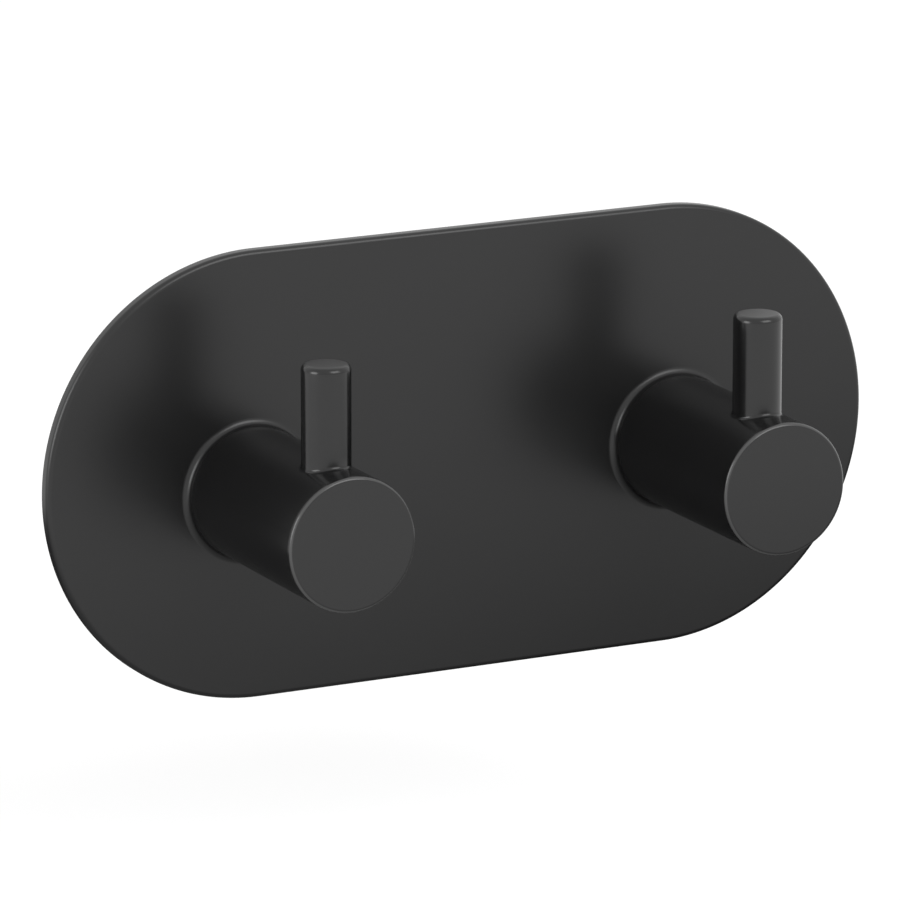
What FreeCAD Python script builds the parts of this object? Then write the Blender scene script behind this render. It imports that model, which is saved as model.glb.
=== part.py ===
import FreeCAD, Part
import math
import os

# Double robe hook, cast in one piece: a thin obround wall plate, two round pegs that stand out of it,
# and a short upright pin on each peg that keeps a loop from sliding off.
# Frame: millimetres, +Z up, the wall is the plane y = 0 and the hook stands out towards -Y.
# The origin is the middle of the plate's back face.

# Wall plate
PLATE_LENGTH = 108.0
PLATE_HEIGHT = 54.0
PLATE_THICKNESS = 1.5
PLATE_FRONT_ROUND = 0.6

# Pegs: each stands level, a little below the plate's mid-height, close to the plate's end
PEG_DIAMETER = 16.0
PEG_REACH = 27.6
PEG_END_DISTANCE = 25.9
PEG_DROP = 1.75
PEG_TIP_ROUND = 0.45
PEG_ROOT_FILLET = 0.8

# Pins: each rises from a peg, near the peg's front end
PIN_DIAMETER = 5.8
PIN_RISE = 11.8
PIN_TO_PEG_TIP = 7.0
PIN_TIP_ROUND = 0.7
PIN_ROOT_FILLET = 0.4

# Blind holes in the back, cored in the casting, flat at the bottom and tapped: one on the axis of each peg,
# at the core diameter of an M5 thread
FIXING_CORE_DIAMETER = 4.2
FIXING_DEPTH = 15.0
FIXING_MOUTH_DIAMETER = 5.5

OUTWARD = FreeCAD.Vector(0, -1, 0)
UP = FreeCAD.Vector(0, 0, 1)
NEAR = 0.01
EDGE_SAMPLES = 9

plate_front = -PLATE_THICKNESS
peg_tip = plate_front - PEG_REACH
peg_offset = PLATE_LENGTH / 2 - PEG_END_DISTANCE
peg_radius = PEG_DIAMETER / 2
pin_radius = PIN_DIAMETER / 2
pin_y = peg_tip + PIN_TO_PEG_TIP
pin_top = -PEG_DROP + peg_radius + PIN_RISE


def obround_face(length, height):
    """Flat face on the wall plane with straight top and bottom edges and half-round ends."""
    end_radius = height / 2
    straight = length / 2 - end_radius
    top_left = FreeCAD.Vector(-straight, 0, end_radius)
    top_right = FreeCAD.Vector(straight, 0, end_radius)
    bottom_right = FreeCAD.Vector(straight, 0, -end_radius)
    bottom_left = FreeCAD.Vector(-straight, 0, -end_radius)
    right_end = FreeCAD.Vector(straight + end_radius, 0, 0)
    left_end = FreeCAD.Vector(-straight - end_radius, 0, 0)
    outline = [
        Part.LineSegment(top_left, top_right).toShape(),
        Part.Arc(top_right, right_end, bottom_right).toShape(),
        Part.LineSegment(bottom_right, bottom_left).toShape(),
        Part.Arc(bottom_left, left_end, top_left).toShape(),
    ]
    return Part.Face(Part.Wire(outline))


def lies_in_plane(edge, y):
    """True for an edge that lies wholly at the given distance from the wall."""
    box = edge.BoundBox
    return abs(box.YMin - y) < NEAR and abs(box.YMax - y) < NEAR


def wall_plate():
    """The plate, with its front edge rounded all round."""
    plate = obround_face(PLATE_LENGTH, PLATE_HEIGHT).extrude(OUTWARD * PLATE_THICKNESS)
    front_edges = [edge for edge in plate.Edges if lies_in_plane(edge, plate_front)]
    return plate.makeFillet(PLATE_FRONT_ROUND, front_edges)


def peg(x):
    """A level peg from inside the plate to its rounded tip."""
    root = FreeCAD.Vector(x, plate_front / 2, -PEG_DROP)
    body = Part.makeCylinder(peg_radius, PEG_REACH - plate_front / 2, root, OUTWARD)
    tip_edges = [edge for edge in body.Edges if lies_in_plane(edge, peg_tip)]
    return body.makeFillet(PEG_TIP_ROUND, tip_edges)


def pin(x):
    """An upright pin from the peg's axis to its rounded top."""
    foot = FreeCAD.Vector(x, pin_y, -PEG_DROP)
    body = Part.makeCylinder(pin_radius, peg_radius + PIN_RISE, foot, UP)
    top_edges = [edge for edge in body.Edges if abs(edge.BoundBox.ZMin - pin_top) < NEAR]
    return body.makeFillet(PIN_TIP_ROUND, top_edges)


def from_peg_axis(point, x):
    """Distance of a point from the axis of the peg at x."""
    return math.hypot(point.x - x, point.z + PEG_DROP)


def from_pin_axis(point, x):
    """Distance of a point from the axis of the pin at x."""
    return math.hypot(point.x - x, point.y - pin_y)


def is_peg_root(edge, x):
    """True for the circle where the peg at x leaves the plate."""
    points = edge.discretize(EDGE_SAMPLES)
    on_peg = all(abs(from_peg_axis(point, x) - peg_radius) < NEAR for point in points)
    return on_peg and lies_in_plane(edge, plate_front)


def is_pin_root(edge, x):
    """True for the saddle curve where the pin leaves the peg at x."""
    points = edge.discretize(EDGE_SAMPLES)
    on_peg = all(abs(from_peg_axis(point, x) - peg_radius) < NEAR for point in points)
    on_pin = all(abs(from_pin_axis(point, x) - pin_radius) < NEAR for point in points)
    return on_peg and on_pin


def fixing_hole(x):
    """Cutter for a blind tapped hole: core bore and countersunk mouth, along one axis."""
    core_radius = FIXING_CORE_DIAMETER / 2
    mouth_radius = FIXING_MOUTH_DIAMETER / 2
    profile = Part.makePolygon([
        FreeCAD.Vector(0, 0, 0),
        FreeCAD.Vector(mouth_radius, 0, 0),
        FreeCAD.Vector(core_radius, -(mouth_radius - core_radius), 0),
        FreeCAD.Vector(core_radius, -FIXING_DEPTH, 0),
        FreeCAD.Vector(0, -FIXING_DEPTH, 0),
        FreeCAD.Vector(0, 0, 0),
    ])
    cutter = Part.Face(profile).revolve(FreeCAD.Vector(0, 0, 0), FreeCAD.Vector(0, 1, 0), 360)
    cutter.translate(FreeCAD.Vector(x, 0, -PEG_DROP))
    return cutter


def hook_body():
    """Plate, pegs and pins in one solid, with the casting's root fillets and the fixing holes."""
    stations = (-peg_offset, peg_offset)
    body = wall_plate()
    for x in stations:
        body = body.fuse(peg(x)).fuse(pin(x))
    body = body.removeSplitter()
    for x in stations:
        body = body.makeFillet(PEG_ROOT_FILLET, [edge for edge in body.Edges if is_peg_root(edge, x)])
        body = body.makeFillet(PIN_ROOT_FILLET, [edge for edge in body.Edges if is_pin_root(edge, x)])
    for x in stations:
        body = body.cut(fixing_hole(x))
    return body.Solids[0]


os.makedirs("parts", exist_ok=True)
hook_body().exportStep("parts/hook_body.step")
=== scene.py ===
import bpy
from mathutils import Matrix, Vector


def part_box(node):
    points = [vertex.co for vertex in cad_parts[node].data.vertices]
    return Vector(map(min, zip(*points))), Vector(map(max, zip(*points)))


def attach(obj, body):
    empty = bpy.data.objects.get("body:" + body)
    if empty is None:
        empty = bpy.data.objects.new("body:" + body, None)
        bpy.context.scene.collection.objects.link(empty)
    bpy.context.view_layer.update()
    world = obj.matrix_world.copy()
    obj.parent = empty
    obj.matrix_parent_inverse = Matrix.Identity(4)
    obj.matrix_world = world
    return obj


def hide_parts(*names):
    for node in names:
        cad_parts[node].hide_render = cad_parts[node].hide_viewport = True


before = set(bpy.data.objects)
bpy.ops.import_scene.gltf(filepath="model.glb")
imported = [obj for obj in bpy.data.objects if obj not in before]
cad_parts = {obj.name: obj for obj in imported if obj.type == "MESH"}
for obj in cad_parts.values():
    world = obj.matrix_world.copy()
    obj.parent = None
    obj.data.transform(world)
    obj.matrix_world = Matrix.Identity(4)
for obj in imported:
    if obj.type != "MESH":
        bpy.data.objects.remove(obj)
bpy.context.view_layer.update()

import math

import bmesh
import bpy
from bpy.props import FloatProperty, FloatVectorProperty, IntProperty, PointerProperty
from mathutils import Vector

bl_info = {
    "name": "Double robe hook",
    "version": (1, 0, 0),
    "blender": (4, 5, 0),
    "location": "3D View > Sidebar > Robe hook",
    "description": "Builds the cast hook with its satin black coat, and the studio round it",
    "category": "Object",
}

# Frame: metres, +Z up, the wall is the plane y = 0 and the pegs point towards -Y.
# Angles round a peg or a hole start at the top and turn towards +X.
# Angles round a pin start at +X and turn towards the wall.

BODY_NODE = "hook_body"
COAT_SLOT = "satin_black_coat"
BODY_LOW, BODY_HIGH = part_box(BODY_NODE)

MM = 0.001
QUARTER_TURN = math.pi / 2
FULL_TURN = 2 * math.pi


# What a user would change

class PlateSizes(bpy.types.PropertyGroup):
    """The thin wall plate with half-round ends."""
    length: FloatProperty(
        name="Length", description="End to end, along the wall",
        default=BODY_HIGH.x - BODY_LOW.x, min=0.06, subtype="DISTANCE", unit="LENGTH", precision=5)
    height: FloatProperty(
        name="Height", description="Top edge to bottom edge, which is also the width of the round ends",
        default=BODY_HIGH.z - BODY_LOW.z, min=0.03, subtype="DISTANCE", unit="LENGTH", precision=5)
    thickness: FloatProperty(
        name="Thickness", description="Back face to front face",
        default=1.5 * MM, min=0.001, subtype="DISTANCE", unit="LENGTH", precision=5)
    front_round: FloatProperty(
        name="Front round", description="Radius that runs all round the front edge",
        default=0.6 * MM, min=0.0001, subtype="DISTANCE", unit="LENGTH", precision=5)


class PegSizes(bpy.types.PropertyGroup):
    """The two level pegs."""
    diameter: FloatProperty(
        name="Diameter", description="Across a peg",
        default=16 * MM, min=0.008, subtype="DISTANCE", unit="LENGTH", precision=5)
    end_distance: FloatProperty(
        name="End distance", description="From the plate's end to the nearer peg's axis",
        default=25.9 * MM, min=0.012, subtype="DISTANCE", unit="LENGTH", precision=5)
    drop: FloatProperty(
        name="Drop", description="How far the pegs' axes lie below the middle of the plate",
        default=1.75 * MM, subtype="DISTANCE", unit="LENGTH", precision=5)
    tip_round: FloatProperty(
        name="Tip round", description="Radius round a peg's front face",
        default=0.45 * MM, min=0.0001, subtype="DISTANCE", unit="LENGTH", precision=5)
    root_fillet: FloatProperty(
        name="Root fillet", description="Radius of the hollow corner between a peg and the plate",
        default=0.8 * MM, min=0.0001, subtype="DISTANCE", unit="LENGTH", precision=5)


class PinSizes(bpy.types.PropertyGroup):
    """The short upright pins that keep a loop on its peg."""
    diameter: FloatProperty(
        name="Diameter", description="Across a pin",
        default=5.8 * MM, min=0.003, subtype="DISTANCE", unit="LENGTH", precision=5)
    rise: FloatProperty(
        name="Rise", description="From the top of a peg to the top of its pin",
        default=11.8 * MM, min=0.004, subtype="DISTANCE", unit="LENGTH", precision=5)
    to_peg_tip: FloatProperty(
        name="To peg tip", description="From a pin's axis forward to the peg's front face",
        default=7 * MM, min=0.006, subtype="DISTANCE", unit="LENGTH", precision=5)
    tip_round: FloatProperty(
        name="Tip round", description="Radius round a pin's top",
        default=0.7 * MM, min=0.0001, subtype="DISTANCE", unit="LENGTH", precision=5)
    root_fillet: FloatProperty(
        name="Root fillet", description="Radius of the hollow corner between a pin and its peg",
        default=0.4 * MM, min=0.0001, subtype="DISTANCE", unit="LENGTH", precision=5)


class FixingSizes(bpy.types.PropertyGroup):
    """The blind threaded holes in the back, on the pegs' axes."""
    core_diameter: FloatProperty(
        name="Core diameter", description="Across the crests of the thread",
        default=4.2 * MM, min=0.002, subtype="DISTANCE", unit="LENGTH", precision=5)
    mouth_diameter: FloatProperty(
        name="Mouth diameter", description="Across the countersunk mouth",
        default=5.5 * MM, min=0.002, subtype="DISTANCE", unit="LENGTH", precision=5)
    depth: FloatProperty(
        name="Depth", description="From the back face to the flat bottom",
        default=15 * MM, min=0.004, subtype="DISTANCE", unit="LENGTH", precision=5)
    pitch: FloatProperty(
        name="Pitch", description="Along the hole from one turn of the thread to the next",
        default=0.8 * MM, min=0.0003, subtype="DISTANCE", unit="LENGTH", precision=5)
    groove: FloatProperty(
        name="Groove", description="Depth of the thread below its crests",
        default=0.4 * MM, min=0.0001, subtype="DISTANCE", unit="LENGTH", precision=5)


class MeshFineness(bpy.types.PropertyGroup):
    """How finely the curved surfaces are divided."""
    pin_patch: IntProperty(
        name="Pin patch", description="Cells along each side of the square patch round a pin's foot",
        default=24, min=8, max=48)
    hole: IntProperty(
        name="Hole", description="Cells round a fixing hole",
        default=48, min=16, max=96)
    fillet: IntProperty(
        name="Fillet", description="Cells across each rounded or hollow edge",
        default=10, min=3, max=24)
    plate_end: IntProperty(
        name="Plate end", description="Cells along each quarter of the plate's round ends",
        default=48, min=12, max=96)


class CoatLook(bpy.types.PropertyGroup):
    """The satin black coat over the whole hook."""
    color: FloatVectorProperty(
        name="Colour", description="Colour of the coat",
        default=(0.0052, 0.0052, 0.0054), size=3, min=0, max=1, subtype="COLOR")
    worn_color: FloatVectorProperty(
        name="Handled colour", description="Colour of the slightly greyer areas of the coat",
        default=(0.0068, 0.0068, 0.0069), size=3, min=0, max=1, subtype="COLOR")
    # A highlight painted into the coat as a lighter colour round each peg's front rim
    rim_color: FloatVectorProperty(
        name="Rim highlight colour", description="Colour of the coat painted lighter as a highlight, on the pegs' front rims",
        default=(0.055, 0.055, 0.055), size=3, min=0, max=1, subtype="COLOR")
    roughness: FloatProperty(
        name="Roughness", description="Mean roughness of the coat on the plate",
        default=0.3, min=0, max=1, subtype="FACTOR")
    peg_roughness: FloatProperty(
        name="Peg roughness",
        description="Mean roughness of the coat on the pegs and pins, where it lies smoother",
        default=0.2, min=0, max=1, subtype="FACTOR")
    top_roughness: FloatProperty(
        name="Top roughness", description="Mean roughness of the coat on the flat tops of the pins",
        default=0.36, min=0, max=1, subtype="FACTOR")
    grain_height: FloatProperty(
        name="Grain height", description="Height of the fine unevenness of the coat",
        default=0.0012 * MM, min=0, subtype="DISTANCE", unit="LENGTH", precision=7)


class StudioLook(bpy.types.PropertyGroup):
    """Floor, light and camera."""
    floor_color: FloatVectorProperty(
        name="Floor colour", description="Colour of the floor",
        default=(0.73, 0.73, 0.73), size=3, min=0, max=1, subtype="COLOR")
    floor_gap: FloatProperty(
        name="Floor gap", description="From the plate's lowest point down to the floor",
        default=25 * MM, min=0, subtype="DISTANCE", unit="LENGTH")
    floor_white: FloatProperty(
        name="Floor white", description="Brightness added where the floor is the background",
        default=0.38, min=0)
    # These settings place a patch of painted shade on the floor, seen only in reflections
    shade_turn: FloatProperty(
        name="Shade turn",
        description="Direction in which the floor gets paler in reflections, from straight ahead",
        default=math.radians(-25), subtype="ANGLE", unit="ROTATION")
    pale_turn: FloatProperty(
        name="Pale turn",
        description="Middle of the pale side of the floor in reflections, from straight ahead",
        default=math.radians(-35), subtype="ANGLE", unit="ROTATION")
    pale_half: FloatProperty(
        name="Pale half",
        description="How far the pale side of the floor reaches to each side of its middle",
        default=math.radians(105), subtype="ANGLE", unit="ROTATION")
    shade_depth: FloatProperty(
        name="Shade depth", description="How pale the darkest of the floor is in reflections",
        default=0.04, min=0, max=1, subtype="FACTOR")
    shade_start: FloatProperty(
        name="Shade start", description="How far in front of the hook the floor starts to get paler",
        default=-50 * MM, subtype="DISTANCE", unit="LENGTH")
    shade_end: FloatProperty(
        name="Shade end", description="How far in front of the hook the floor is at its palest",
        default=170 * MM, subtype="DISTANCE", unit="LENGTH")
    room_light: FloatProperty(
        name="Room light", description="Brightness at which the room lights the hook and the floor",
        default=0.8, min=0)
    left_lamp: FloatProperty(
        name="Left lamp", description="Brightness of the soft lamp on the left",
        default=4.0, min=0)
    right_lamp: FloatProperty(
        name="Right lamp", description="Brightness of the soft lamp at the front right",
        default=3.0, min=0)
    camera_azimuth: FloatProperty(
        name="Camera azimuth",
        description="Turn of the camera round the left peg's foot, from straight ahead",
        default=math.radians(-25.2), subtype="ANGLE", unit="ROTATION")
    camera_elevation: FloatProperty(
        name="Camera elevation", description="Height of the camera above the left peg's foot, as an angle",
        default=math.radians(14.33), subtype="ANGLE", unit="ROTATION")
    camera_distance: FloatProperty(
        name="Camera distance", description="From the camera to the left peg's foot",
        default=871 * MM, min=0.2, subtype="DISTANCE", unit="LENGTH")
    camera_lens: FloatProperty(
        name="Camera lens", description="Focal length in millimetres, for a 36 mm wide picture",
        default=297.0, min=20)
    camera_aim: FloatVectorProperty(
        name="Camera aim", description="Point that the camera looks at",
        default=(-0.99 * MM, 0.41 * MM, -0.31 * MM), size=3, subtype="TRANSLATION", unit="LENGTH",
        precision=5)


# Meshes

# A narrow strip of flat face goes with each rounded edge, so that its shading stays flat
FLAT_MARGIN = 0.04 * MM
MERGE_DISTANCE = 0.012 * MM
SEAM_ANGLE = math.radians(38)

# The pin stands in a square patch of the peg's side, which reaches this far to each side of the top
PATCH_HALF_ANGLE = math.radians(36)
# Rings between the patch's edge and the pin's foot, closer together near the foot
PATCH_ROWS = 7
PATCH_CROWDING = 0.7

# Rows of cells along the plain stretches of a peg and of a pin
PEG_ROWS_BEHIND_PATCH = 12
PEG_ROWS_BEFORE_PATCH = 4
PIN_ROWS = 10


def steps(count):
    """Fractions from 0 to 1, both included."""
    return [i / count for i in range(count + 1)]


def blend(a, b, share):
    """The value at a share of the way from a to b."""
    return a + (b - a) * share


def join_rings(mesh, first, second, keep=None):
    """Faces between two closed rings of points, where keep says so for a column."""
    count = len(first)
    for i in range(count):
        j = (i + 1) % count
        if keep is None or keep(i):
            mesh.faces.new((first[i], first[j], second[j], second[i]))


class Turned:
    """Rings of points round a level axis that points away from the wall."""

    def __init__(self, mesh, height, count):
        self.mesh = mesh
        self.height = height
        self.count = count
        self.rings = []

    def point(self, radius, angle, y):
        """A point at a radius and angle round the axis, at a distance from the wall."""
        return Vector((radius * math.sin(angle), y, self.height + radius * math.cos(angle)))

    def ring(self, radius_at, y):
        """One ring, whose radius may change with the angle."""
        angles = [FULL_TURN * i / self.count for i in range(self.count)]
        points = [self.point(radius_at(angle), angle, y) for angle in angles]
        self.rings.append([self.mesh.verts.new(point) for point in points])

    def turn(self, profile):
        """A round ring for each radius and y of a profile."""
        for radius, y in profile:
            self.ring(lambda angle: radius, y)


def peg_foot_profile(plate, peg, cells):
    """Radius and y from the plate's front face round the hollow corner to the peg's side."""
    corner = peg.diameter / 2 + peg.root_fillet
    front = -plate.thickness
    profile = [(corner + FLAT_MARGIN, front)]
    for share in steps(cells):
        angle = QUARTER_TURN * (1 - share)
        radius = corner - peg.root_fillet * math.cos(angle)
        profile.append((radius, front - peg.root_fillet * (1 - math.sin(angle))))
    return profile


def tip_profile(radius, tip_round, count):
    """Radius and depth behind the tip, from a rod's side over its rounded edge to its flat end."""
    profile = []
    for share in steps(count):
        angle = QUARTER_TURN * share
        profile.append((radius - tip_round * (1 - math.cos(angle)), tip_round * (1 - math.sin(angle))))
    profile.append((radius - tip_round - FLAT_MARGIN, 0.0))
    return profile


class PinFoot:
    """The hollow corner between a pin and its peg, as a ball rolling round the pin would leave it."""

    def __init__(self, peg, pin, pin_y):
        self.peg_radius = peg.diameter / 2
        self.pin_radius = pin.diameter / 2
        self.fillet = pin.root_fillet
        self.pin_y = pin_y

    def ball_centre(self, turn):
        """Centre of the ball at this turn round the pin, seen from the peg's axis."""
        reach = self.pin_radius + self.fillet
        x = reach * math.cos(turn)
        y = self.pin_y + reach * math.sin(turn)
        return Vector((x, y, math.sqrt((self.peg_radius + self.fillet) ** 2 - x * x)))

    def on_peg(self, turn):
        """Where the ball touches the peg: angle round the peg and y."""
        centre = self.ball_centre(turn)
        return math.atan2(centre.x, centre.z), centre.y

    def across(self, turn, share):
        """A point on the ball's face, from the peg at 0 to the pin at 1."""
        centre = self.ball_centre(turn)
        to_peg = -Vector((centre.x, 0, centre.z)).normalized()
        to_pin = -Vector((math.cos(turn), math.sin(turn), 0))
        return centre + to_peg.slerp(to_pin, share) * self.fillet


def patch_border(rings, first_row, cells):
    """Points round the square patch that the side of the peg leaves open, once round."""
    half = cells // 2
    last_row = first_row + cells
    count = len(rings[0])
    border = [(first_row, c) for c in range(-half, half)]
    border += [(r, half) for r in range(first_row, last_row)]
    border += [(last_row, c) for c in range(half, -half, -1)]
    border += [(r, -half) for r in range(last_row, first_row, -1)]
    return [(rings[r][c % count], FULL_TURN * c / count) for r, c in border]


def cells_round_peg(fineness):
    """Cells once round a peg, so many that the patch takes up whole ones."""
    return round(FULL_TURN / (2 * PATCH_HALF_ANGLE) * fineness.pin_patch)


def is_open_column(column, cells, count):
    """True for a column of the peg's side that the patch takes up, half of them on each side of the top."""
    from_top = column if column < count / 2 else column - count
    return -cells // 2 <= from_top < cells // 2


def peg_skin(mesh, plate, peg, pin, fineness):
    """The peg from its hollow foot to its flat front face, open round the foot of the pin."""
    cells = fineness.pin_patch
    radius = peg.diameter / 2
    count = cells_round_peg(fineness)
    skin = Turned(mesh, -peg.drop, count)
    tip = BODY_LOW.y
    pin_y = tip + pin.to_peg_tip
    half_patch = radius * PATCH_HALF_ANGLE
    foot = peg_foot_profile(plate, peg, fineness.fillet)
    skin.turn(foot)
    foot_end = foot[-1][1]
    skin.turn([(radius, blend(foot_end, pin_y + half_patch, s)) for s in steps(PEG_ROWS_BEHIND_PATCH)[1:]])
    first_row = len(skin.rings) - 1
    skin.turn([(radius, blend(pin_y + half_patch, pin_y - half_patch, s)) for s in steps(cells)[1:]])
    last_row = len(skin.rings) - 1
    tip_rings = tip_profile(radius, peg.tip_round, fineness.fillet)
    before_round = tip + tip_rings[0][1]
    front_rows = steps(PEG_ROWS_BEFORE_PATCH)[1:-1]
    skin.turn([(radius, blend(pin_y - half_patch, before_round, s)) for s in front_rows])
    skin.turn([(r, tip + behind_tip) for r, behind_tip in tip_rings])
    for row in range(len(skin.rings) - 1):
        in_patch = first_row <= row < last_row
        keep = (lambda i: not is_open_column(i, cells, count)) if in_patch else None
        join_rings(mesh, skin.rings[row], skin.rings[row + 1], keep)
    mesh.faces.new(skin.rings[-1])
    return skin, patch_border(skin.rings, first_row, cells), pin_y


def pin_skin(mesh, skin, border, foot, pin, fineness):
    """The pin with its hollow foot, from the patch on the peg to its flat top."""
    radius = pin.diameter / 2
    axis_height = skin.height
    turns = [math.atan2(v.co.y - foot.pin_y, foot.peg_radius * angle) for v, angle in border]
    before = [v for v, angle in border]
    for row_share in steps(PATCH_ROWS)[1:]:
        share = row_share ** PATCH_CROWDING
        ring = []
        for (v, angle), turn in zip(border, turns):
            inner_angle, inner_y = foot.on_peg(turn)
            place = skin.point(
                foot.peg_radius, blend(angle, inner_angle, share), blend(v.co.y, inner_y, share))
            ring.append(mesh.verts.new(place))
        join_rings(mesh, before, ring)
        before = ring
    rise = Vector((0, 0, axis_height))
    for share in steps(fineness.fillet)[1:]:
        ring = [mesh.verts.new(foot.across(turn, share) + rise) for turn in turns]
        join_rings(mesh, before, ring)
        before = ring
    top = axis_height + foot.peg_radius + pin.rise
    tip_rings = tip_profile(radius, pin.tip_round, fineness.fillet)
    below_round = top - tip_rings[0][1]
    start = [v.co.copy() for v in before]
    for share in steps(PIN_ROWS)[1:-1]:
        ring = [mesh.verts.new((p.x, p.y, blend(p.z, below_round, share))) for p in start]
        join_rings(mesh, before, ring)
        before = ring
    for ring_radius, below_top in tip_rings:
        ring = [
            mesh.verts.new((
                ring_radius * math.cos(turn), foot.pin_y + ring_radius * math.sin(turn), top - below_top))
            for turn in turns
        ]
        join_rings(mesh, before, ring)
        before = ring
    mesh.faces.new(before)


# Widths of the thread's flat crest and flat root, as shares of its pitch
CREST_SHARE = 0.25
ROOT_SHARE = 0.125
ROWS_PER_PITCH = 8


def groove_share(phase):
    """How deep the thread is at a phase of its pitch, from 0 on its crest to 1 in its root."""
    from_crest = min(phase, 1 - phase)
    flank = 0.5 - CREST_SHARE / 2 - ROOT_SHARE / 2
    return min(max((from_crest - CREST_SHARE / 2) / flank, 0), 1)


def hole_skin(mesh, peg, fixing, fineness):
    """A blind hole from its countersunk mouth, down its thread to its flat bottom."""
    hole = Turned(mesh, -peg.drop, fineness.hole)
    core = fixing.core_diameter / 2
    mouth = fixing.mouth_diameter / 2
    thread_start = -(mouth - core)
    hole.turn([(mouth + FLAT_MARGIN, 0), (mouth, 0), (core, thread_start)])
    run_out = fixing.pitch
    rows = round((fixing.depth + thread_start - fixing.pitch) / fixing.pitch * ROWS_PER_PITCH)
    thread_end = thread_start - rows * fixing.pitch / ROWS_PER_PITCH

    def radius_at(angle, y):
        phase = (y / fixing.pitch + angle / FULL_TURN) % 1
        fade = min(1, (thread_start - y) / run_out, (y - thread_end) / run_out)
        return core + fixing.groove * groove_share(phase) * fade

    for row in range(1, rows):
        y = blend(thread_start, thread_end, row / rows)
        hole.ring(lambda angle: radius_at(angle, y), y)
    hole.turn([(core, thread_end), (core, -fixing.depth)])
    for first, second in zip(hole.rings, hole.rings[1:]):
        join_rings(mesh, first, second)
    mesh.faces.new(hole.rings[-1])


def one_station(scene):
    """Mesh of all that stands at one peg's axis: peg, pin and fixing hole, with the plate left out."""
    plate, peg, pin = scene.hook_plate, scene.hook_peg, scene.hook_pin
    fineness = scene.hook_fineness
    mesh = bmesh.new()
    skin, border, pin_y = peg_skin(mesh, plate, peg, pin, fineness)
    pin_skin(mesh, skin, border, PinFoot(peg, pin, pin_y), pin, fineness)
    hole_skin(mesh, peg, scene.hook_fixing, fineness)
    loose = [v for v in mesh.verts if not v.link_faces]
    bmesh.ops.delete(mesh, geom=loose, context="VERTS")
    data = bpy.data.meshes.new("hook_station")
    mesh.to_mesh(data)
    mesh.free()
    return data


# Node trees

class Nodes:
    """Adds nodes to a tree and joins them."""

    def __init__(self, tree):
        self.tree = tree

    def add(self, kind, inputs=(), **settings):
        """A node with its settings, and a value or another node's socket for each named input."""
        node = self.tree.nodes.new(kind)
        for name, value in settings.items():
            setattr(node, name, value)
        for name, value in dict(inputs).items():
            self.put(node.inputs[name], value)
        return node

    def put(self, socket, value):
        if isinstance(value, bpy.types.NodeSocket):
            self.tree.links.new(value, socket)
        else:
            socket.default_value = value

    def math(self, operation, a, b):
        return self.add("ShaderNodeMath", {0: a, 1: b}, operation=operation).outputs[0]

    def place(self, x, y, z=0.0):
        return self.add("ShaderNodeCombineXYZ", {"X": x, "Y": y, "Z": z}).outputs[0]

    def merge(self, *geometry):
        node = self.tree.nodes.new("GeometryNodeJoinGeometry")
        for socket in geometry:
            self.tree.links.new(socket, node.inputs[0])
        return node.outputs[0]


BODY_TREE_SIZES = (
    "Length", "Height", "Thickness", "Front round", "Flat margin", "Peg spacing",
    "Peg drop", "Peg foot radius", "Hole mouth radius", "Merge distance", "Seam angle",
)
BODY_TREE_COUNTS = (
    "Cells round peg", "Cells round hole", "Cells along plate end", "Cells across round",
)


# The plate's ends are rounded by just under half its height, so that no two points fall together
END_ROUND_SHARE = 0.49999


def outline(nodes, sizes, inset):
    """The plate's outline, drawn in by an inset: straight top and bottom, half-round ends."""
    both = nodes.math("MULTIPLY", inset, 2.0)
    height = nodes.math("SUBTRACT", sizes["Height"], both)
    box = nodes.add("GeometryNodeCurvePrimitiveQuadrilateral", {
        "Width": nodes.math("SUBTRACT", sizes["Length"], both), "Height": height})
    return nodes.add("GeometryNodeFilletCurve", {
        "Curve": box.outputs[0], "Count": sizes["Cells along plate end"],
        "Radius": nodes.math("MULTIPLY", height, END_ROUND_SHARE)}, mode="POLY").outputs[0]


def rim_profile(nodes, sizes):
    """The plate's edge in section, drawn with x inwards and y off the wall, turned to suit the sweep."""
    round_start = nodes.math("SUBTRACT", sizes["Thickness"], sizes["Front round"])
    margin_end = nodes.math("ADD", sizes["Front round"], sizes["Flat margin"])
    round_end = nodes.place(sizes["Front round"], sizes["Thickness"])
    ends = (
        (nodes.place(sizes["Flat margin"], 0.0), nodes.place(0.0, 0.0)),
        (nodes.place(0.0, 0.0), nodes.place(0.0, round_start)),
        (round_end, nodes.place(margin_end, sizes["Thickness"])),
    )
    lines = [
        nodes.add("GeometryNodeCurvePrimitiveLine", {"Start": start, "End": end}).outputs[0]
        for start, end in ends
    ]
    arc = nodes.add("GeometryNodeCurveArc", {
        "Resolution": sizes["Cells across round"], "Radius": sizes["Front round"],
        "Start Angle": math.pi, "Sweep Angle": -QUARTER_TURN})
    moved = nodes.add("GeometryNodeTransform", {
        "Geometry": arc.outputs[0], "Translation": nodes.place(sizes["Front round"], round_start)})
    return nodes.add("GeometryNodeTransform", {
        "Geometry": nodes.merge(*lines, moved.outputs[0]),
        "Rotation": (0.0, 0.0, math.pi)}).outputs[0]


def flat_face(nodes, sizes, inset, opening, cells, height, stations):
    """A flat face of the plate with a round opening at each station, at a height over the wall."""
    circle = nodes.add("GeometryNodeCurvePrimitiveCircle", {"Resolution": cells, "Radius": opening})
    openings = nodes.add("GeometryNodeInstanceOnPoints", {
        "Points": stations, "Instance": circle.outputs[0]})
    real = nodes.add("GeometryNodeRealizeInstances", {"Geometry": openings.outputs[0]})
    lowered = nodes.add("GeometryNodeTransform", {
        "Geometry": real.outputs[0],
        "Translation": nodes.place(0.0, nodes.math("MULTIPLY", sizes["Peg drop"], -1.0))})
    edges = nodes.merge(outline(nodes, sizes, inset), lowered.outputs[0])
    filled = nodes.add("GeometryNodeFillCurve", {"Curve": edges}, mode="TRIANGLES")
    return nodes.add("GeometryNodeTransform", {
        "Geometry": filled.outputs[0], "Translation": nodes.place(0.0, 0.0, height)}).outputs[0]


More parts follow.
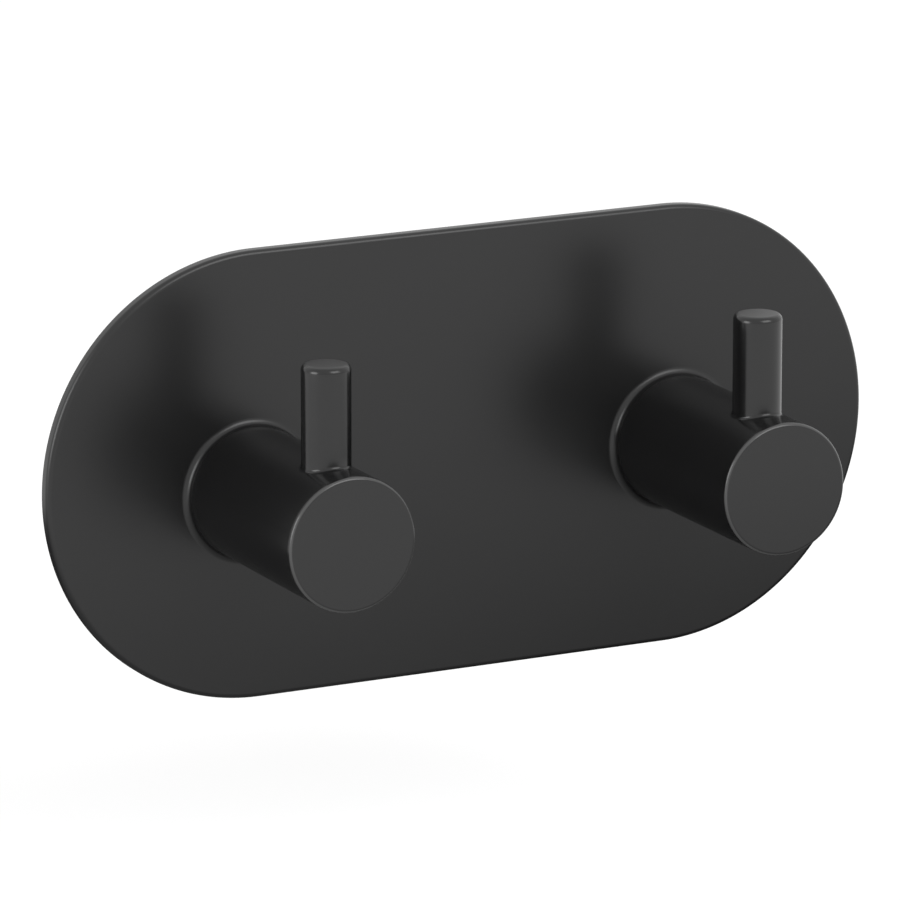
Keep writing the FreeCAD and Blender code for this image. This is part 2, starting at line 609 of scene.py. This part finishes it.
def plate_nodes(nodes, sizes, stations):
    """The plate, drawn flat and then stood up against the wall."""
    rim = nodes.add("GeometryNodeCurveToMesh", {
        "Curve": outline(nodes, sizes, 0.0), "Profile Curve": rim_profile(nodes, sizes)})
    margin = sizes["Flat margin"]
    front = flat_face(
        nodes, sizes, nodes.math("ADD", sizes["Front round"], margin),
        nodes.math("ADD", sizes["Peg foot radius"], margin), sizes["Cells round peg"],
        sizes["Thickness"], stations)
    back = flat_face(
        nodes, sizes, margin,
        nodes.math("ADD", sizes["Hole mouth radius"], margin), sizes["Cells round hole"], 0.0, stations)
    return nodes.add("GeometryNodeTransform", {
        "Geometry": nodes.merge(rim.outputs[0], front, back),
        "Rotation": (QUARTER_TURN, 0.0, 0.0)}).outputs[0]


def hook_body_tree():
    """Node tree that sets the station mesh at both pegs' axes and closes the plate round them."""
    tree = bpy.data.node_groups.new("hook_body_tree", "GeometryNodeTree")
    face = tree.interface
    face.new_socket(name="Station", in_out="INPUT", socket_type="NodeSocketGeometry")
    for name in BODY_TREE_SIZES:
        face.new_socket(name=name, in_out="INPUT", socket_type="NodeSocketFloat")
    for name in BODY_TREE_COUNTS:
        face.new_socket(name=name, in_out="INPUT", socket_type="NodeSocketInt")
    face.new_socket(name="Coat", in_out="INPUT", socket_type="NodeSocketMaterial")
    face.new_socket(name="Hook", in_out="OUTPUT", socket_type="NodeSocketGeometry")
    nodes = Nodes(tree)
    sizes = nodes.add("NodeGroupInput").outputs
    spacing = sizes["Peg spacing"]
    line = nodes.add("GeometryNodeMeshLine", {
        "Count": 2, "Start Location": nodes.place(nodes.math("MULTIPLY", spacing, -0.5), 0.0),
        "Offset": nodes.place(spacing, 0.0)}).outputs[0]
    pegs = nodes.add("GeometryNodeInstanceOnPoints", {"Points": line, "Instance": sizes["Station"]})
    real = nodes.add("GeometryNodeRealizeInstances", {"Geometry": pegs.outputs[0]})
    whole = nodes.merge(plate_nodes(nodes, sizes, line), real.outputs[0])
    closed = nodes.add("GeometryNodeMergeByDistance", {
        "Geometry": whole, "Distance": sizes["Merge distance"]})
    smooth = nodes.add("GeometryNodeSetShadeSmooth", {"Geometry": closed.outputs[0]})
    angle = nodes.add("GeometryNodeInputMeshEdgeAngle")
    seam = nodes.math("GREATER_THAN", angle.outputs[0], sizes["Seam angle"])
    seams = nodes.add("GeometryNodeSetShadeSmooth", {
        "Geometry": smooth.outputs[0], "Selection": seam, "Shade Smooth": False}, domain="EDGE")
    coated = nodes.add("GeometryNodeSetMaterial", {"Geometry": seams.outputs[0], "Material": sizes["Coat"]})
    nodes.add("NodeGroupOutput", {"Hook": coated.outputs[0]})
    return tree


def body_tree_values(scene):
    """A value for each input of the tree, by the input's name."""
    plate, peg, pin, fixing = scene.hook_plate, scene.hook_peg, scene.hook_pin, scene.hook_fixing
    fineness = scene.hook_fineness
    return {
        "Length": plate.length,
        "Height": plate.height,
        "Thickness": plate.thickness,
        "Front round": plate.front_round,
        "Flat margin": FLAT_MARGIN,
        "Peg spacing": plate.length - 2 * peg.end_distance,
        "Peg drop": peg.drop,
        "Peg foot radius": peg.diameter / 2 + peg.root_fillet,
        "Hole mouth radius": fixing.mouth_diameter / 2,
        "Merge distance": MERGE_DISTANCE,
        "Seam angle": SEAM_ANGLE,
        "Cells round peg": cells_round_peg(fineness),
        "Cells round hole": fineness.hole,
        "Cells along plate end": fineness.plate_end,
        "Cells across round": fineness.fillet,
    }


def run_tree(obj, tree, values):
    """Runs a node tree on an object and keeps the result as a plain mesh."""
    modifier = obj.modifiers.new(tree.name, "NODES")
    modifier.node_group = tree
    for item in tree.interface.items_tree:
        if item.in_out == "INPUT" and item.name in values:
            modifier[item.identifier] = values[item.name]
    evaluated = obj.evaluated_get(bpy.context.evaluated_depsgraph_get())
    plain = bpy.data.meshes.new_from_object(evaluated)
    obj.modifiers.remove(modifier)
    obj.data = plain
    plain.name = obj.name


def face_outwards(data):
    """Turns every face of a closed mesh outwards."""
    mesh = bmesh.new()
    mesh.from_mesh(data)
    bmesh.ops.recalc_face_normals(mesh, faces=mesh.faces)
    mesh.to_mesh(data)
    mesh.free()


def compass(turn, lift=0.0):
    """Direction at an angle from straight ahead of the hook, turning towards +X, lifted over the floor."""
    level = math.cos(lift)
    return (math.sin(turn) * level, -math.cos(turn) * level, math.sin(lift))


def along(nodes, vector, direction):
    """How far a vector reaches along a direction."""
    dot = nodes.add("ShaderNodeVectorMath", {0: vector, 1: direction}, operation="DOT_PRODUCT")
    return dot.outputs["Value"]


def smooth_ramp(nodes, value, start_end, low_high, kind="SMOOTHSTEP"):
    """A value that goes from low to high while the given one goes from start to end."""
    start, end = start_end
    low, high = low_high
    return nodes.add("ShaderNodeMapRange", {
        "Value": value, "From Min": start, "From Max": end, "To Min": low, "To Max": high},
        interpolation_type=kind).outputs[0]


# Coat

COAT_IOR = 1.5
TONE_NOISE = {"Scale": 55.0, "Detail": 3.0, "Roughness": 0.55}
TONE_NOISE_RANGE = (0.3, 0.7)
GRAIN_NOISE = {"Scale": 2400.0, "Detail": 2.0, "Roughness": 0.5}
ROUGHNESS_CHANGE = 0.02

# Depths below a peg's rim between which its painted highlight fades out, and below a pin's top between
# which its own roughness fades out
RIM_HIGHLIGHT_FADE = (0.2 * MM, 0.35 * MM)
TOP_FADE = (0.03 * MM, 0.2 * MM)

# Distances from the wall between which the plate's look gives way to the pegs'
PLATE_FADE = (1.7 * MM, 4 * MM)


def rim_highlight_share(nodes, place, scene):
    """1 on the rounded rim of each peg's front face, where a highlight is painted into the coat, 0
    elsewhere.
    """
    peg = scene.hook_peg
    offset = scene.hook_plate.length / 2 - peg.end_distance
    radius = peg.diameter / 2
    parts = nodes.add("ShaderNodeSeparateXYZ", {"Vector": place}).outputs
    from_middle = nodes.add("ShaderNodeMath", {0: parts["X"]}, operation="ABSOLUTE").outputs[0]
    across = nodes.math("SUBTRACT", from_middle, offset)
    above = nodes.math("ADD", parts["Z"], peg.drop)
    reach = nodes.add(
        "ShaderNodeVectorMath", {0: nodes.place(across, above)}, operation="LENGTH").outputs["Value"]
    full, faded = RIM_HIGHLIGHT_FADE
    off_face = smooth_ramp(nodes, reach, (radius - faded, radius - full), (0.0, 1.0))
    tip = BODY_LOW.y
    near_tip = smooth_ramp(nodes, parts["Y"], (tip + full, tip + faded), (1.0, 0.0))
    return nodes.math("MULTIPLY", off_face, near_tip)


def coat_roughness(nodes, place, clouds, scene):
    """Roughness of the coat: satin on the plate, smoother on pegs and pins, rougher on the pins' tops."""
    look = scene.hook_coat
    pin_top = scene.hook_peg.diameter / 2 - scene.hook_peg.drop + scene.hook_pin.rise
    full, faded = TOP_FADE
    on_top = smooth_ramp(
        nodes, along(nodes, place, (0.0, 0.0, 1.0)), (pin_top - faded, pin_top - full), (0.0, 1.0))
    rod = nodes.add("ShaderNodeMix", {
        "Factor": on_top, "A": look.peg_roughness, "B": look.top_roughness}).outputs[0]
    off_plate = smooth_ramp(nodes, along(nodes, place, (0.0, -1.0, 0.0)), PLATE_FADE, (0.0, 1.0))
    mean = nodes.add("ShaderNodeMix", {"Factor": off_plate, "A": look.roughness, "B": rod}).outputs[0]
    uneven = smooth_ramp(nodes, clouds, TONE_NOISE_RANGE, (-ROUGHNESS_CHANGE, ROUGHNESS_CHANGE), "LINEAR")
    return nodes.math("ADD", mean, uneven)


def satin_black_coat(scene):
    """Thin, even, satin black coat: hardly any colour, soft reflections, a very fine unevenness and a
    highlight painted round each peg's front rim.
    """
    look = scene.hook_coat
    material = bpy.data.materials.new(COAT_SLOT)
    material.use_nodes = True
    material.node_tree.nodes.clear()
    nodes = Nodes(material.node_tree)
    place = nodes.add("ShaderNodeTexCoord").outputs["Object"]
    clouds = nodes.add("ShaderNodeTexNoise", {"Vector": place, **TONE_NOISE}).outputs[0]
    tone = nodes.add("ShaderNodeMix", {
        "Factor": clouds, "A": (*look.color, 1.0), "B": (*look.worn_color, 1.0)}, data_type="RGBA")
    # The pegs' front rims are painted lighter, as a highlight
    rim_highlighted = nodes.add("ShaderNodeMix", {
        "Factor": rim_highlight_share(nodes, place, scene), "A": tone.outputs[2], "B": (*look.rim_color, 1.0)},
        data_type="RGBA")
    grain = nodes.add("ShaderNodeTexNoise", {"Vector": place, **GRAIN_NOISE})
    bump = nodes.add("ShaderNodeBump", {
        "Height": grain.outputs[0], "Strength": 1.0, "Distance": look.grain_height})
    shader = nodes.add("ShaderNodeBsdfPrincipled", {
        "Base Color": rim_highlighted.outputs[2], "Roughness": coat_roughness(nodes, place, clouds, scene),
        "IOR": COAT_IOR, "Normal": bump.outputs[0]})
    nodes.add("ShaderNodeOutputMaterial", {"Surface": shader.outputs[0]})
    return material


# Studio

WHITE = (1.0, 1.0, 1.0, 1.0)
FLOOR_HALF_SIZE = 6.0
FLOOR_ROUGHNESS = 0.9
FLOOR_NOISE = {"Scale": 8.0, "Detail": 2.0}
FLOOR_TONE_CHANGE = 0.01

# Distances from the hook's middle between which the patch of painted shade on the floor ends
SHADE_PATCH_END = (170 * MM, 240 * MM)
SOFT_EDGE = math.radians(5)


def background_share(nodes):
    """1 on rays that see the white background, straight, in a reflection or through something clear."""
    path = nodes.add("ShaderNodeLightPath").outputs
    straight = nodes.math("MAXIMUM", path["Is Camera Ray"], path["Is Transmission Ray"])
    return nodes.math("MAXIMUM", straight, path["Is Glossy Ray"])


def painted_shade_paleness(nodes, place, look):
    """How pale the floor is in reflections: painted shade, darkest at and behind the hook, and pale farther
    out.
    """
    forward = along(nodes, place, compass(look.shade_turn))
    near_share = smooth_ramp(nodes, forward, (look.shade_start, look.shade_end), (0.0, 1.0))
    level = nodes.add(
        "ShaderNodeVectorMath", {0: place, 1: (1.0, 1.0, 0.0)}, operation="MULTIPLY").outputs[0]
    outwards = nodes.add("ShaderNodeVectorMath", {0: level}, operation="NORMALIZE").outputs[0]
    side_edges = (math.cos(look.pale_half + SOFT_EDGE), math.cos(look.pale_half - SOFT_EDGE))
    side_share = smooth_ramp(
        nodes, along(nodes, outwards, compass(look.pale_turn)), side_edges, (0.0, 1.0))
    reach = nodes.add("ShaderNodeVectorMath", {0: place}, operation="LENGTH").outputs["Value"]
    far_share = smooth_ramp(nodes, reach, SHADE_PATCH_END, (0.0, 1.0))
    pale_share = nodes.math("MAXIMUM", nodes.math("MULTIPLY", near_share, side_share), far_share)
    return smooth_ramp(nodes, pale_share, (0.0, 1.0), (look.shade_depth, 1.0), "LINEAR")


def pale_floor_material(look):
    """Pale floor: white where it is the background, with a patch of painted shade in reflections, close to
    the hook.
    """
    material = bpy.data.materials.new("pale_floor")
    material.use_nodes = True
    material.node_tree.nodes.clear()
    nodes = Nodes(material.node_tree)
    place = nodes.add("ShaderNodeTexCoord").outputs["Object"]
    mottle = nodes.add("ShaderNodeTexNoise", {"Vector": place, **FLOOR_NOISE})
    tone = nodes.add("ShaderNodeMapRange", {
        "Value": mottle.outputs[0], "To Min": look.floor_color[0] - FLOOR_TONE_CHANGE,
        "To Max": look.floor_color[0] + FLOOR_TONE_CHANGE})
    # In reflections only, the floor is painted darker at and behind the hook, as shade
    is_reflection = nodes.add("ShaderNodeLightPath").outputs["Is Glossy Ray"]
    paleness = nodes.add("ShaderNodeMix", {
        "Factor": is_reflection, "A": 1.0, "B": painted_shade_paleness(nodes, place, look)}).outputs[0]
    white = nodes.math("MULTIPLY", background_share(nodes), look.floor_white)
    shader = nodes.add("ShaderNodeBsdfPrincipled", {
        "Base Color": nodes.math("MULTIPLY", tone.outputs[0], paleness),
        "Roughness": FLOOR_ROUGHNESS, "Specular IOR Level": 0.0,
        "Emission Color": WHITE, "Emission Strength": nodes.math("MULTIPLY", white, paleness)})
    nodes.add("ShaderNodeOutputMaterial", {"Surface": shader.outputs[0]})
    return material


def pale_floor(look):
    """A wide floor below the hook."""
    mesh = bmesh.new()
    bmesh.ops.create_grid(mesh, x_segments=2, y_segments=2, size=FLOOR_HALF_SIZE)
    bmesh.ops.translate(mesh, verts=mesh.verts, vec=(0, 0, BODY_LOW.z - look.floor_gap))
    data = bpy.data.meshes.new("floor")
    mesh.to_mesh(data)
    mesh.free()
    data.materials.append(pale_floor_material(look))
    floor = bpy.data.objects.new("floor", data)
    bpy.context.scene.collection.objects.link(floor)
    return floor


LAMP_DISTANCE = 0.9
LAMPS = {
    "left_lamp": {"turn": math.radians(-82), "lift": math.radians(16), "width": 0.45, "height": 0.5},
    "right_lamp": {"turn": math.radians(20), "lift": math.radians(38), "width": 0.55, "height": 0.5},
}


def soft_lamp(name, brightness, turn, lift, width, height):
    """A rectangular lamp aimed at the hook, which looks equally bright from wherever it is seen."""
    lamp = bpy.data.lights.new(name, "AREA")
    lamp.shape = "RECTANGLE"
    lamp.size = width
    lamp.size_y = height
    lamp.energy = brightness * math.pi * width * height
    obj = bpy.data.objects.new(name, lamp)
    outwards = Vector(compass(turn, lift))
    obj.location = outwards * LAMP_DISTANCE
    obj.rotation_euler = (-outwards).to_track_quat("-Z", "Y").to_euler()
    bpy.context.scene.collection.objects.link(obj)


def pale_room(scene, look):
    """An even pale room, whose walls are the white background."""
    world = bpy.data.worlds.new("pale_room")
    scene.world = world
    world.use_nodes = True
    world.node_tree.nodes.clear()
    nodes = Nodes(world.node_tree)
    strength = nodes.add("ShaderNodeMix", {
        "Factor": background_share(nodes), "A": look.room_light, "B": 1.0})
    background = nodes.add("ShaderNodeBackground", {
        "Color": WHITE, "Strength": strength.outputs[0]})
    nodes.add("ShaderNodeOutputWorld", {"Surface": background.outputs[0]})


# The point by the left peg's foot that the camera's distance and angles are measured from
PEG_FOOT = Vector((-25 * MM, 0, 1.3 * MM))
SENSOR_WIDTH = 36
CLIP_START = 0.05
CLIP_END = 50


def hook_camera(scene, look):
    """The camera in the photograph's place, turned so that it takes in the whole hook."""
    data = bpy.data.cameras.new("camera")
    data.sensor_width = SENSOR_WIDTH
    data.lens = look.camera_lens
    data.clip_start = CLIP_START
    data.clip_end = CLIP_END
    camera = bpy.data.objects.new("camera", data)
    outwards = Vector(compass(look.camera_azimuth, look.camera_elevation))
    camera.location = PEG_FOOT + outwards * look.camera_distance
    view = Vector(look.camera_aim) - camera.location
    camera.rotation_euler = view.to_track_quat("-Z", "Y").to_euler()
    scene.collection.objects.link(camera)
    scene.camera = camera


# Operators and panel

class HOOK_OT_body(bpy.types.Operator):
    """Build the cast body and give it its coat"""
    bl_idname = "hook.body"
    bl_label = "Hook body"

    def execute(self, context):
        scene = context.scene
        hook = bpy.data.objects.new("hook", one_station(scene))
        scene.collection.objects.link(hook)
        values = body_tree_values(scene)
        values["Coat"] = satin_black_coat(scene)
        run_tree(hook, hook_body_tree(), values)
        face_outwards(hook.data)
        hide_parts(BODY_NODE)
        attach(hook, "root")
        return {"FINISHED"}


class HOOK_OT_studio(bpy.types.Operator):
    """Set up the pale floor, the soft light and the camera"""
    bl_idname = "hook.studio"
    bl_label = "Studio"

    def execute(self, context):
        scene = context.scene
        look = scene.hook_studio
        pale_floor(look)
        pale_room(scene, look)
        for name, shape in LAMPS.items():
            soft_lamp(name, getattr(look, name), **shape)
        hook_camera(scene, look)
        scene.view_settings.view_transform = "Standard"
        return {"FINISHED"}


class HOOK_PT_panel(bpy.types.Panel):
    """Sizes and looks of the hook, with a button for each step"""
    bl_idname = "HOOK_PT_panel"
    bl_label = "Robe hook"
    bl_space_type = "VIEW_3D"
    bl_region_type = "UI"
    bl_category = "Robe hook"

    def draw(self, context):
        layout = self.layout
        for name, group in SETTINGS.items():
            box = layout.box()
            box.label(text=group.__doc__)
            for prop in group.__annotations__:
                box.prop(getattr(context.scene, name), prop)
        for step in STEPS:
            layout.operator(step.bl_idname)


SETTINGS = {
    "hook_plate": PlateSizes,
    "hook_peg": PegSizes,
    "hook_pin": PinSizes,
    "hook_fixing": FixingSizes,
    "hook_fineness": MeshFineness,
    "hook_coat": CoatLook,
    "hook_studio": StudioLook,
}
STEPS = (HOOK_OT_body, HOOK_OT_studio)


def register():
    for cls in (*SETTINGS.values(), *STEPS, HOOK_PT_panel):
        bpy.utils.register_class(cls)
    for name, group in SETTINGS.items():
        setattr(bpy.types.Scene, name, PointerProperty(type=group))


def unregister():
    for name in SETTINGS:
        delattr(bpy.types.Scene, name)
    for cls in (HOOK_PT_panel, *reversed(STEPS), *reversed(SETTINGS.values())):
        bpy.utils.unregister_class(cls)


def main():
    register()
    bpy.ops.hook.body()
    bpy.ops.hook.studio()


if __name__ == "__main__":
    main()
